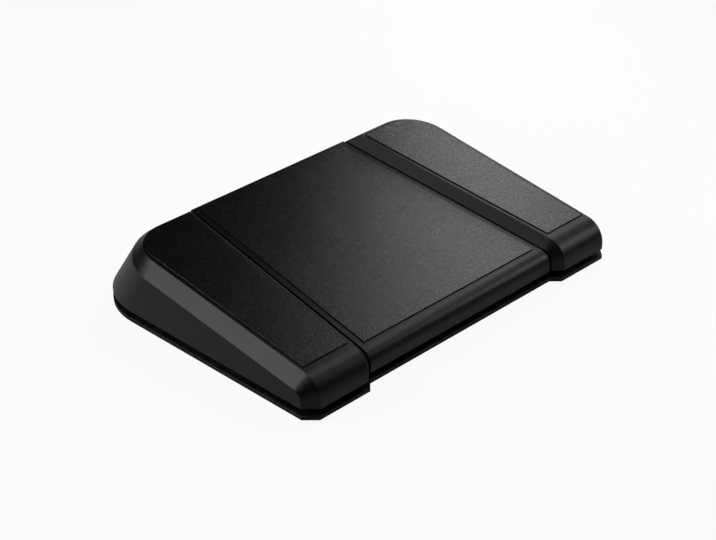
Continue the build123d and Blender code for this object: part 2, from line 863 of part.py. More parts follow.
def switch_slider(x):
    """Key switch slider with its cross-shaped stem."""
    body = Pos(0, 0, -slider_length) * extrude(Rectangle(slider_width, slider_depth), amount=slider_length)
    cross = Rectangle(stem_span, stem_arm) + Rectangle(stem_arm, stem_span)
    return Pos(x, switch_y, switch_top) * (body + extrude(cross, amount=stem_height))


def ribbon(side):
    """Flat cable that runs along the tray floor from the main board to a side board."""
    low = tray_top
    high = board_z - ribbon_thickness
    inner = main_board_half
    outer = side_board_x - side_board_size[0] / 2
    path = [
        (inner - ribbon_lap, high),
        (inner, high),
        (inner + ribbon_ramp, low),
        (outer - ribbon_ramp, low),
        (outer, high),
        (outer + ribbon_lap, high),
    ]
    lifted = [(x, z + ribbon_thickness) for x, z in reversed(path)]
    outline = make_face(Polyline(*path, *lifted, close=True))
    near_y = switch_y + ribbon_switch_offset + ribbon_width / 2
    place = Plane(origin=(0, near_y, 0), x_dir=(1, 0, 0), z_dir=(0, -1, 0))
    strip = extrude(place * outline, amount=ribbon_width)
    return strip if side > 0 else mirror(strip, about=Plane.YZ)


def board_parts():
    """Controller chip, clock crystal and voltage regulator, placed by shares of the board."""
    blocks = []
    for share, size in (
        (chip_place_share, chip_size),
        (crystal_place_share, crystal_size),
        (regulator_place_share, regulator_size),
    ):
        x = share[0] * main_board_half
        y = board_near_y + share[1] * main_board_depth
        blocks.append(Pos(x, y, board_top + size[2] / 2) * Box(*size))
    return Compound(children=blocks)


def socket_shell():
    """Stamped socket shell, open at the port face."""
    hollow = Pos(0, overrun, 0) * socket_form(socket_length - socket_skin + overrun, socket_skin)
    return socket_form(socket_length) - hollow


def socket_tongue():
    """Contact tongue that stands inside the socket shell."""
    back_y = port_face_y - socket_length + socket_skin
    middle_z = board_top + socket_height / 2
    root_length = socket_length - socket_skin - tongue_length - socket_skin
    inner = socket_form(socket_length - socket_skin, socket_skin)
    root = Pos(0, back_y + root_length / 2, middle_z) * Box(socket_width, root_length, socket_height)
    tongue = Pos(0, back_y + (root_length + tongue_length) / 2, middle_z)
    tongue = tongue * Box(tongue_width, root_length + tongue_length, tongue_height)
    return (inner & root) + tongue


def mirrored(solid):
    """The left-hand twin of a right-hand piece."""
    return mirror(solid, about=Plane.YZ)


def build():
    """Makes every piece, by node name."""
    right_shell = side_shell()
    right_pad = tread_pad(side_pad_outline(0.0), 0.0)
    pieces = {
        "base_plate": base_plate(),
        "rubber_feet": rubber_feet(),
        "chassis": chassis(),
        "base_screws": Compound(children=[base_screw(x, y) for x, y in both_sides(base_screw_places)]),
        "hinge_pin_left": hinge_pin(-bay_middle, side_pin_half),
        "hinge_pin_centre": hinge_pin(0.0, centre_pin_half),
        "hinge_pin_right": hinge_pin(bay_middle, side_pin_half),
        "hinge_pin_clips": pin_clips(),
        "spring_left": coil_spring(-bay_middle),
        "spring_centre": coil_spring(0.0),
        "spring_right": coil_spring(bay_middle),
        "rubber_stops": rubber_stops(),
        "main_board": main_board(),
        "switch_board_left": side_board(-1),
        "switch_board_right": side_board(1),
        "board_screws": board_screws(),
        "board_parts": board_parts(),
        "ribbon_left": ribbon(-1),
        "ribbon_right": ribbon(1),
        "switch_body_left": switch_body(-side_board_x),
        "switch_body_centre": switch_body(0.0),
        "switch_body_right": switch_body(side_board_x),
        "switch_slider_left": switch_slider(-side_board_x),
        "switch_slider_centre": switch_slider(0.0),
        "switch_slider_right": switch_slider(side_board_x),
        "socket_shell": socket_shell(),
        "socket_tongue": socket_tongue(),
        "pedal_shell_left": mirrored(right_shell),
        "pedal_shell_centre": centre_shell(),
        "pedal_shell_right": right_shell,
        "tread_pad_left": mirrored(right_pad),
        "tread_pad_centre": tread_pad(centre_pad_outline(0.0), centre_drop),
        "tread_pad_right": right_pad,
    }
    return pieces


os.makedirs("parts", exist_ok=True)
print("Least gap between the turns of a spring, mm:", round(least_coil_gap(), 2))
for name, piece in build().items():
    export_step(piece, os.path.join("parts", name + ".step"))
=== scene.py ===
"""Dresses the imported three-pedal foot switch, and sets its studio light, floor and camera."""
import json
import logging
import math
from dataclasses import dataclass, field
from enum import Enum
from typing import ClassVar

import bmesh
import bpy
from bmesh.types import BMEdge, BMesh, BMFace, BMVert
from bpy.types import Material, Node, NodeSocket, Object, ShaderNodeTree
from mathutils import Matrix, Vector
from mathutils.bvhtree import BVHTree


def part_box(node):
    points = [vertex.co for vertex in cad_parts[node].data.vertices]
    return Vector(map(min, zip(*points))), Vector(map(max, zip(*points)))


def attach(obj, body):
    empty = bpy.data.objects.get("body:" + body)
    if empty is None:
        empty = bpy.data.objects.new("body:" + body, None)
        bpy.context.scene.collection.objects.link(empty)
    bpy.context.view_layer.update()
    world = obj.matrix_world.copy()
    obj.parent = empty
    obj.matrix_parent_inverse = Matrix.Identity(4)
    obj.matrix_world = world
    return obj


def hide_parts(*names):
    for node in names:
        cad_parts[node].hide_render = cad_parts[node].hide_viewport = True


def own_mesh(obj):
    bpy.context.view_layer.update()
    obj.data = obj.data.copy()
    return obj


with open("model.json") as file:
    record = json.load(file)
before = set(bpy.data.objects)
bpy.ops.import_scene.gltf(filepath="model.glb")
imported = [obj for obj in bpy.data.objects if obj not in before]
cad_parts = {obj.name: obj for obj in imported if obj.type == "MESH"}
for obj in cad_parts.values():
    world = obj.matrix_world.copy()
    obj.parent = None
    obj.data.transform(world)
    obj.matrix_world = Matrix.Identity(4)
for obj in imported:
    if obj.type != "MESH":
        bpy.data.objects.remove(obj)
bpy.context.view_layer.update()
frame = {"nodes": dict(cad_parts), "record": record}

logging.basicConfig(level=logging.INFO, format="%(name)s: %(message)s")
log = logging.getLogger("foot_switch")

MM = 0.001
WELD_DISTANCE = 0.002 * MM
FLAT_TURN = math.radians(0.4)
SHARP_TURN = math.radians(32.0)

Colour = tuple[float, float, float]
Cast = dict[str, Material]


class Body(Enum):
    """Rigid bodies of the switch that a piece can ride on."""

    BASE = "base"
    LEFT_PEDAL = "left_pedal"
    CENTRE_PEDAL = "centre_pedal"
    RIGHT_PEDAL = "right_pedal"


class Grain(Enum):
    """Kinds of surface relief that a finish can have."""

    SPARK = "spark"
    PEBBLE = "pebble"
    BRUSHED = "brushed"


# Shader graphs


@dataclass(frozen=True)
class Noise:
    """Cloudy noise that is stretched between two of its levels, to reach from nought to one."""

    detail: float
    low: float
    high: float


class Graph:
    """Short way to add nodes to one shader tree and to link them."""

    def __init__(self, tree: ShaderNodeTree) -> None:
        """Clears the tree and keeps it.

        Args:
            tree: Material tree or group tree that is to be filled.
        """
        self.tree = tree
        tree.nodes.clear()

    def add(self, kind: str, inputs: dict | None = None, **settings: object) -> Node:
        """Adds one node.

        Args:
            kind: Node type without its ShaderNode prefix.
            inputs: Values or sockets for the node's inputs, by name or index.
            settings: Properties of the node itself.

        Returns:
            The new node.
        """
        node = self.tree.nodes.new("ShaderNode" + kind)
        for name, value in settings.items():
            setattr(node, name, value)
        for key, value in (inputs or {}).items():
            if isinstance(value, NodeSocket):
                self.tree.links.new(value, node.inputs[key])
            else:
                node.inputs[key].default_value = value
        return node

    def maths(self, operation: str, first: object, second: object) -> NodeSocket:
        """Adds a Math node with two operands and returns its result."""
        return self.add("Math", {0: first, 1: second}, operation=operation).outputs[0]

    def remap(
        self, value: NodeSocket, low: float, high: float, start: float = 0.0, end: float = 1.0
    ) -> NodeSocket:
        """Maps a value from low..high to start..end with a smooth ramp.

        Args:
            value: Socket to read.
            low: Value that becomes start.
            high: Value that becomes end.
            start: Result at low.
            end: Result at high.

        Returns:
            The mapped value, held at its ends.
        """
        node = self.add(
            "MapRange",
            {"Value": value, "From Min": low, "From Max": high, "To Min": start, "To Max": end},
            interpolation_type="SMOOTHSTEP",
        )
        return node.outputs["Result"]

    def blend(self, factor: NodeSocket, first: object, second: object) -> NodeSocket:
        """Mixes two colours.

        Args:
            factor: Share of the second colour.
            first: Colour or socket at a factor of nought.
            second: Colour or socket at a factor of one.

        Returns:
            The mixed colour.
        """
        node = self.add("Mix", data_type="RGBA")
        for index, value in ((0, factor), (6, first), (7, second)):
            if isinstance(value, NodeSocket):
                self.tree.links.new(value, node.inputs[index])
            else:
                node.inputs[index].default_value = (*value, 1.0)
        return node.outputs[2]

    def cloud(self, noise: Noise, vector: NodeSocket, scale: float | NodeSocket) -> NodeSocket:
        """Adds stretched noise.

        Args:
            noise: Its detail and the levels that it is stretched between.
            vector: Coordinate to read it at.
            scale: Number of its waves per metre.

        Returns:
            A value from nought to one.
        """
        raw = self.add("TexNoise", {"Vector": vector, "Scale": scale, "Detail": noise.detail})
        return self.remap(raw.outputs["Fac"], noise.low, noise.high)

    def group(self, tree: ShaderNodeTree, vector: NodeSocket, dial: float) -> NodeSocket:
        """Places a shared group with its coordinate and its dial, and returns its only value."""
        return self.add("Group", {0: vector, 1: dial}, node_tree=tree).outputs[0]


@dataclass(frozen=True)
class ValueGroup:
    """Node group that turns a coordinate and one dial into one value."""

    name: ClassVar[str]
    dial: ClassVar[str]
    output: ClassVar[str]

    def build(self) -> ShaderNodeTree:
        """Makes the group with its named sockets.

        Returns:
            The filled group.
        """
        tree = bpy.data.node_groups.new(self.name, "ShaderNodeTree")
        for key, kind in (("Vector", "NodeSocketVector"), (self.dial, "NodeSocketFloat")):
            tree.interface.new_socket(name=key, in_out="INPUT", socket_type=kind)
        tree.interface.new_socket(name=self.output, in_out="OUTPUT", socket_type="NodeSocketFloat")
        graph = Graph(tree)
        entry = tree.nodes.new("NodeGroupInput")
        leave = tree.nodes.new("NodeGroupOutput")
        result = self.fill(graph, entry.outputs["Vector"], entry.outputs[self.dial])
        tree.links.new(result, leave.inputs[0])
        return tree

    def fill(self, graph: Graph, vector: NodeSocket, dial: NodeSocket) -> NodeSocket:
        """Adds the group's inner nodes, in each kind of group its own."""
        raise NotImplementedError


@dataclass(frozen=True)
class PebbleRelief(ValueGroup):
    """Rounded pebbles with creases between them, on a stirred coordinate, and fine specks."""

    name: ClassVar[str] = "pebble_relief"
    dial: ClassVar[str] = "Cells"
    output: ClassVar[str] = "Height"
    stir_scale: float = 420.0
    stir_detail: float = 2.0
    stir_reach: float = 0.9 * MM
    noise_middle: Colour = (0.5, 0.5, 0.5)
    smoothness: float = 0.55
    dome_top: float = 0.15
    dome_foot: float = 0.85
    dome_share: float = 0.45
    speck: Noise = Noise(detail=3.0, low=0.32, high=0.68)
    speck_scale: float = 1350.0
    speck_share: float = 0.55

    def fill(self, graph: Graph, vector: NodeSocket, dial: NodeSocket) -> NodeSocket:
        """Adds the pebbles and the specks.

        Args:
            graph: Graph of the group's tree.
            vector: Coordinate.
            dial: Pebbles per metre.

        Returns:
            Height from nought to one.
        """
        stir = graph.add(
            "TexNoise", {"Vector": vector, "Scale": self.stir_scale, "Detail": self.stir_detail}
        )
        offset = graph.add(
            "VectorMath", {0: stir.outputs["Color"], 1: self.noise_middle}, operation="SUBTRACT"
        )
        push = graph.add("VectorMath", {0: offset.outputs[0], 3: self.stir_reach}, operation="SCALE")
        moved = graph.add("VectorMath", {0: vector, 1: push.outputs[0]}, operation="ADD")
        cells = graph.add(
            "TexVoronoi",
            {"Vector": moved.outputs[0], "Scale": dial, "Smoothness": self.smoothness},
            feature="SMOOTH_F1",
        )
        dome = graph.remap(cells.outputs["Distance"], self.dome_top, self.dome_foot, 1.0, 0.0)
        speck = graph.cloud(self.speck, vector, self.speck_scale)
        domes = graph.maths("MULTIPLY", dome, self.dome_share)
        return graph.maths("ADD", domes, graph.maths("MULTIPLY", speck, self.speck_share))


@dataclass(frozen=True)
class SparkRelief(ValueGroup):
    """Fine even pitting, as a spark-eroded mould leaves it."""

    name: ClassVar[str] = "spark_relief"
    dial: ClassVar[str] = "Cells"
    output: ClassVar[str] = "Height"
    pits: Noise = Noise(detail=3.0, low=0.3, high=0.7)

    def fill(self, graph: Graph, vector: NodeSocket, dial: NodeSocket) -> NodeSocket:
        """Adds the pitting, whose dial counts its waves per metre."""
        return graph.cloud(self.pits, vector, dial)


@dataclass(frozen=True)
class BrushedRelief(ValueGroup):
    """Fine lines along X."""

    name: ClassVar[str] = "brushed_relief"
    dial: ClassVar[str] = "Cells"
    output: ClassVar[str] = "Height"
    stretch: Colour = (0.04, 1.0, 1.0)
    lines: Noise = Noise(detail=4.0, low=0.25, high=0.75)

    def fill(self, graph: Graph, vector: NodeSocket, dial: NodeSocket) -> NodeSocket:
        """Adds the lines, whose dial counts them per metre."""
        drawn = graph.add("VectorMath", {0: vector, 1: self.stretch}, operation="MULTIPLY")
        return graph.cloud(self.lines, drawn.outputs[0], dial)


@dataclass(frozen=True)
class EdgeRub(ValueGroup):
    """Convex edges, broken up so that the rub is uneven."""

    name: ClassVar[str] = "edge_rub"
    dial: ClassVar[str] = "Amount"
    output: ClassVar[str] = "Mask"
    least_bend: float = 0.515
    full_bend: float = 0.58
    patch: Noise = Noise(detail=4.0, low=0.35, high=0.68)
    patch_scale: float = 160.0

    def fill(self, graph: Graph, vector: NodeSocket, dial: NodeSocket) -> NodeSocket:
        """Adds the mask of the rubbed edges.

        Args:
            graph: Graph of the group's tree.
            vector: Coordinate.
            dial: Strength of the rub.

        Returns:
            Mask from nought to the strength.
        """
        shape = graph.add("NewGeometry")
        edge = graph.remap(shape.outputs["Pointiness"], self.least_bend, self.full_bend)
        broken = graph.cloud(self.patch, vector, self.patch_scale)
        return graph.maths("MULTIPLY", graph.maths("MULTIPLY", edge, broken), dial)


@dataclass(frozen=True)
class SettledDust(ValueGroup):
    """Faces that look up, where a cloudy film and a few specks lie."""

    name: ClassVar[str] = "settled_dust"
    dial: ClassVar[str] = "Amount"
    output: ClassVar[str] = "Mask"
    least_upward: float = 0.55
    full_upward: float = 0.98
    film: Noise = Noise(detail=5.0, low=0.42, high=0.75)
    film_scale: float = 26.0
    film_share: float = 0.5
    speck_scale: float = 260.0
    speck_core: float = 0.04
    speck_edge: float = 0.11
    speck_share: float = 0.6

    def fill(self, graph: Graph, vector: NodeSocket, dial: NodeSocket) -> NodeSocket:
        """Adds the mask of the dust.

        Args:
            graph: Graph of the group's tree.
            vector: Coordinate.
            dial: Strength of the dust.

        Returns:
            Mask from nought to about the strength.
        """
        shape = graph.add("NewGeometry")
        split = graph.add("SeparateXYZ", {0: shape.outputs["Normal"]})
        upward = graph.remap(split.outputs["Z"], self.least_upward, self.full_upward)
        film = graph.cloud(self.film, vector, self.film_scale)
        cells = graph.add("TexVoronoi", {"Vector": vector, "Scale": self.speck_scale})
        specks = graph.remap(cells.outputs["Distance"], self.speck_core, self.speck_edge, 1.0, 0.0)
        films = graph.maths("MULTIPLY", film, self.film_share)
        both = graph.maths("ADD", films, graph.maths("MULTIPLY", specks, self.speck_share))
        return graph.maths("MULTIPLY", graph.maths("MULTIPLY", both, upward), dial)


@dataclass(frozen=True)
class ToneDrift(ValueGroup):
    """Slow cloudy change from nought to one."""

    name: ClassVar[str] = "tone_drift"
    dial: ClassVar[str] = "Scale"
    output: ClassVar[str] = "Value"
    clouds: Noise = Noise(detail=3.0, low=0.3, high=0.7)

    def fill(self, graph: Graph, vector: NodeSocket, dial: NodeSocket) -> NodeSocket:
        """Adds the clouds, whose dial counts their waves per metre."""
        return graph.cloud(self.clouds, vector, dial)


@dataclass(frozen=True)
class SharedGroups:
    """Node groups that all finishes use: one relief for each grain, edge rub, dust and drift."""

    reliefs: dict[Grain, ShaderNodeTree]
    rub: ShaderNodeTree
    dust: ShaderNodeTree
    drift: ShaderNodeTree

    @classmethod
    def build(cls) -> "SharedGroups":
        """Builds every group once.

        Returns:
            The groups, ready for the finishes.
        """
        kinds = {Grain.PEBBLE: PebbleRelief(), Grain.SPARK: SparkRelief(), Grain.BRUSHED: BrushedRelief()}
        reliefs = {grain: kind.build() for grain, kind in kinds.items()}
        return cls(reliefs, EdgeRub().build(), SettledDust().build(), ToneDrift().build())


# Finishes


@dataclass(frozen=True)
class Finish:
    """Surface of one material: its tone, gloss, relief, rub and dust.

    The depth of the relief is in metres, and cells counts its grains per metre. The crease shade
    tone is painted shade in the creases of the relief, under a random drift, and crease_rough is the
    roughness that they add.
    """

    name: str
    tone: Colour
    # Painted shade in the creases of the relief.
    crease_shade_tone: Colour
    rub_tone: Colour
    dust_tone: Colour = (0.045, 0.044, 0.042)
    roughness: float = 0.45
    rough_spread: float = 0.06
    metallic: float = 0.0
    specular: float = 0.5
    grain: Grain = Grain.SPARK
    cells: float = 2500.0
    relief: float = 0.00002
    relief_strength: float = 0.5
    rub: float = 0.35
    dust: float = 0.12
    dust_rough: float = 0.3
    drift_scale: float = 30.0
    crease_rough: float = 0.02

    def material(self, groups: SharedGroups) -> Material:
        """Builds the material.

        Args:
            groups: The shared node groups.

        Returns:
            A material whose tone, roughness and normal change over the surface.
        """
        made = bpy.data.materials.new(self.name)
        made.use_nodes = True
        graph = Graph(made.node_tree)
        vector = graph.add("TexCoord").outputs["Object"]
        relief = graph.group(groups.reliefs[self.grain], vector, self.cells)
        rub = graph.group(groups.rub, vector, self.rub)
        dust = graph.group(groups.dust, vector, self.dust)
        drift = graph.group(groups.drift, vector, self.drift_scale)
        bump = graph.add(
            "Bump", {"Strength": self.relief_strength, "Distance": self.relief, "Height": relief}
        )
        # Painted shade: the creases of the relief take the darker tone, and so does all of it where the
        # drift is low.
        tone = graph.blend(graph.maths("MULTIPLY", drift, relief), self.crease_shade_tone, self.tone)
        tone = graph.blend(rub, tone, self.rub_tone)
        shader = graph.add("BsdfPrincipled", {
            "Metallic": self.metallic,
            "Specular IOR Level": self.specular,
            "Base Color": graph.blend(dust, tone, self.dust_tone),
            "Roughness": self._roughness(graph, relief, dust, drift),
            "Normal": bump.outputs[0],
        })
        graph.add("OutputMaterial", {"Surface": shader.outputs[0]})
        return made

    def _roughness(
        self, graph: Graph, relief: NodeSocket, dust: NodeSocket, drift: NodeSocket
    ) -> NodeSocket:
        """Roughness that drifts, and rises under dust and in creases.

        Args:
            graph: Graph of the material's tree.
            relief: Height of the grain.
            dust: Mask of the dust.
            drift: Slow change from nought to one.

        Returns:
            The roughness.
        """
        low = self.roughness - self.rough_spread
        high = self.roughness + self.rough_spread
        rough = graph.add("MapRange", {"Value": drift, "To Min": low, "To Max": high}).outputs["Result"]
        rough = graph.maths("ADD", rough, graph.maths("MULTIPLY", dust, self.dust_rough))
        crease = graph.maths("MULTIPLY", graph.maths("SUBTRACT", 1.0, relief), self.crease_rough)
        return graph.maths("ADD", rough, crease)


FINISHES = {
    "shell": Finish(
        "satin_shell_plastic", tone=(0.0032, 0.0032, 0.0034), crease_shade_tone=(0.0024, 0.0024, 0.0026),
        rub_tone=(0.012, 0.012, 0.0124), roughness=0.35, rough_spread=0.008, specular=0.22,
        cells=2200.0, relief=0.00003, relief_strength=0.6, dust=0.01, crease_rough=0.04,
    ),
    "tread": Finish(
        "pebbled_tread_rubber", tone=(0.0032, 0.0032, 0.0033), crease_shade_tone=(0.0018, 0.0018, 0.0019),
        rub_tone=(0.008, 0.008, 0.008), roughness=0.19, rough_spread=0.006, specular=0.34,
        grain=Grain.PEBBLE, cells=1100.0, relief=0.00009, relief_strength=0.8, rub=0.2, dust=0.01,
        crease_rough=0.2,
    ),
    # Darker, matt copy of the tread for the pads' steep sides: painted shade in the groove round each pad.
    "painted_shade_pad_side": Finish(
        "matt_painted_shade_pad_side", tone=(0.002, 0.002, 0.002), crease_shade_tone=(0.0015, 0.0015, 0.0015),
        rub_tone=(0.004, 0.004, 0.004), roughness=0.7, specular=0.08, cells=1800.0, rub=0.1, dust=0.0,
    ),
    "plate": Finish(
        "black_powder_coat", tone=(0.0045, 0.0045, 0.0048), crease_shade_tone=(0.003, 0.003, 0.0033),
        rub_tone=(0.02, 0.02, 0.021), roughness=0.5, rough_spread=0.05, specular=0.12, cells=1400.0,
        relief_strength=0.4, rub=0.5, dust=0.08,
    ),
    "foot": Finish(
        "matt_foot_rubber", tone=(0.02, 0.02, 0.02), crease_shade_tone=(0.012, 0.012, 0.012),
        rub_tone=(0.035, 0.035, 0.034), roughness=0.8, specular=0.35, cells=1800.0, relief=0.00003,
        rub=0.5, dust=0.1,
    ),
    "chassis": Finish(
        "chassis_plastic", tone=(0.008, 0.008, 0.0085), crease_shade_tone=(0.005, 0.005, 0.0055),
        rub_tone=(0.02, 0.02, 0.02), roughness=0.55, cells=2200.0, dust=0.1,
    ),
    "bright_steel": Finish(
        "ground_steel", tone=(0.62, 0.62, 0.64), crease_shade_tone=(0.45, 0.45, 0.47),
        rub_tone=(0.75, 0.75, 0.76), roughness=0.28, metallic=1.0, grain=Grain.BRUSHED, cells=1500.0,
        relief=0.000006, rub=0.4, dust=0.03,
    ),
    "black_screw": Finish(
        "black_zinc", tone=(0.09, 0.09, 0.095), crease_shade_tone=(0.05, 0.05, 0.055),
        rub_tone=(0.3, 0.3, 0.3), roughness=0.36, metallic=1.0, cells=3000.0, relief=0.000006,
        rub=0.7, dust=0.05,
    ),
    "laminate": Finish(
        "green_solder_mask", tone=(0.012, 0.07, 0.03), crease_shade_tone=(0.006, 0.04, 0.018),
        rub_tone=(0.03, 0.1, 0.05), roughness=0.32, cells=700.0, relief=0.000008, dust=0.1,
        drift_scale=90.0,
    ),
    "chip": Finish(
        "chip_epoxy", tone=(0.012, 0.012, 0.012), crease_shade_tone=(0.008, 0.008, 0.008),
        rub_tone=(0.04, 0.04, 0.04), roughness=0.6, cells=4000.0,
    ),
    "ribbon": Finish(
        "ribbon_film", tone=(0.5, 0.5, 0.5), crease_shade_tone=(0.4, 0.4, 0.41), rub_tone=(0.6, 0.6, 0.6),
        roughness=0.4, grain=Grain.BRUSHED, cells=1200.0, relief=0.00001,
    ),
    "switch": Finish(
        "switch_housing", tone=(0.02, 0.02, 0.021), crease_shade_tone=(0.014, 0.014, 0.015),
        rub_tone=(0.05, 0.05, 0.05), roughness=0.4,
    ),
    "slider": Finish(
        "switch_slider_red", tone=(0.35, 0.03, 0.02), crease_shade_tone=(0.25, 0.02, 0.014),
        rub_tone=(0.4, 0.08, 0.06), roughness=0.35,
    ),
    "gold": Finish(
        "contact_gold", tone=(0.85, 0.6, 0.22), crease_shade_tone=(0.7, 0.46, 0.15),
        rub_tone=(0.9, 0.7, 0.35), roughness=0.25, metallic=1.0, grain=Grain.BRUSHED,
        relief=0.000004, dust=0.0,
    ),
}


# Meshes


def merged_copy(node: str) -> BMesh:
    """A node's loose triangles as one closed mesh with its flat faces whole.

    Args:
        node: Name of the modelled node.

    Returns:
        A new mesh in the shared frame.
    """
    bm = bmesh.new()
    bm.from_mesh(frame["nodes"][node].data)
    bmesh.ops.remove_doubles(bm, verts=bm.verts, dist=WELD_DISTANCE)
    bmesh.ops.dissolve_limit(
        bm, angle_limit=FLAT_TURN, verts=bm.verts, edges=bm.edges, delimit={"NORMAL"}
    )
    bm.normal_update()
    return bm


def open_faces(
    bm: BMesh, reach: float = 0.06, lowest: float = -0.2, lift: float = 0.05 * MM
) -> set[BMFace]:
    """Faces that look sideways or up and see nothing of their own piece.

    Args:
        bm: Mesh to read.
        reach: How far each face looks.
        lowest: Least upward part of the normal of a face that counts.
        lift: Height over the face that it looks from.

    Returns:
        The outside faces.
    """
    tree = BVHTree.FromBMesh(bm)
    seen = set()
    for face in bm.faces:
        if face.normal.z < lowest:
            continue
        start = face.calc_center_median() + face.normal * lift
        if tree.ray_cast(start, face.normal, reach)[0] is None:
            seen.add(face)
    return seen


def soft_edges(bm: BMesh, width: float, segments: int, least_angle: float = 16.0) -> None:
    """Rounds the convex edges that can be seen from outside.

    Args:
        bm: Mesh to change.
        width: Width of the rounding.
        segments: Number of faces across it.
        least_angle: Smallest turn, in degrees, that counts as an edge.
    """
    outside = open_faces(bm)
    limit = math.radians(least_angle)

    def counts(edge: BMEdge) -> bool:
        """Tells whether an edge is convex, sharp and on the outside.

        Args:
            edge: Edge to judge.

        Returns:
            True if it is to be rounded.
        """
        if len(edge.link_faces) != 2 or not outside.intersection(edge.link_faces):
            return False
        return edge.calc_face_angle_signed(0.0) > limit

    bmesh.ops.bevel(
        bm, geom=[edge for edge in bm.edges if counts(edge)], offset=width, offset_type="OFFSET",
        segments=segments, profile=0.5, affect="EDGES", clamp_overlap=True, material=-1,
    )


def finish_piece(
    bm: BMesh, name: str, body: Body, slot: str, material: Material, *nodes: str
) -> Object:
    """Turns a mesh into a piece of the switch.

    Args:
        bm: Finished mesh in the shared frame; it is freed.
        name: Name of the piece.
        body: Body that it rides on.
        slot: Material slot of the record; not used.
        material: Its material.
        nodes: Modelled nodes that it stands for.

    Returns:
        The new object.
    """
    mesh = bpy.data.meshes.new(name)
    bm.to_mesh(mesh)
    bm.free()
    mesh.shade_smooth()
    mesh.set_sharp_from_angle(angle=SHARP_TURN)
    mesh.materials.append(material)
    piece = bpy.data.objects.new(name, mesh)
    bpy.context.scene.collection.objects.link(piece)
    weigh = piece.modifiers.new("even_shading", "WEIGHTED_NORMAL")
    weigh.keep_sharp = True
    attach(piece, body.value)
    if nodes:
        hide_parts(*nodes)
    log.info("%s: %d faces on %s", name, len(mesh.polygons), body.value)
    return piece


def dress_node(node: str, material: Material) -> None:
    """Gives a modelled node that stays its material.

    Args:
        node: Name of the node.
        material: Material for its only slot.
    """
    mesh = frame["nodes"][node].data
    mesh.materials.clear()
    mesh.materials.append(material)
    log.info("%s: kept, %s", node, material.name)


# Sub-assemblies


@dataclass
class Pedal:
    """One pedal: its moulded shell and the tread pad that is inlaid in it."""

    side: str
    body: Body
    edge_width: float = 0.55 * MM
    edge_segments: int = 3
    pad_edge_width: float = 0.16 * MM
    pad_edge_segments: int = 2
    steep: float = 0.6

    def build(self, cast: Cast) -> None:
        """Builds both pieces. Steep pad faces take a darker matt copy of the tread: painted groove shade.

        Args:
            cast: Materials by finish.
        """
        shell = merged_copy(f"pedal_shell_{self.side}")
        soft_edges(shell, self.edge_width, self.edge_segments)
        finish_piece(
            shell, f"soft_shell_{self.side}", self.body, "shell_plastic", cast["shell"],
            f"pedal_shell_{self.side}",
        )
        pad = merged_copy(f"tread_pad_{self.side}")
        soft_edges(pad, self.pad_edge_width, self.pad_edge_segments)
        pad.normal_update()
        # Steep pad faces take the darker copy, as painted shade in the groove round the pad.
        for face in pad.faces:
            face.material_index = int(face.normal.z < self.steep)
        piece = finish_piece(
            pad, f"soft_tread_{self.side}", self.body, "tread_rubber", cast["tread"],
            f"tread_pad_{self.side}",
        )
        piece.data.materials.append(cast["painted_shade_pad_side"])


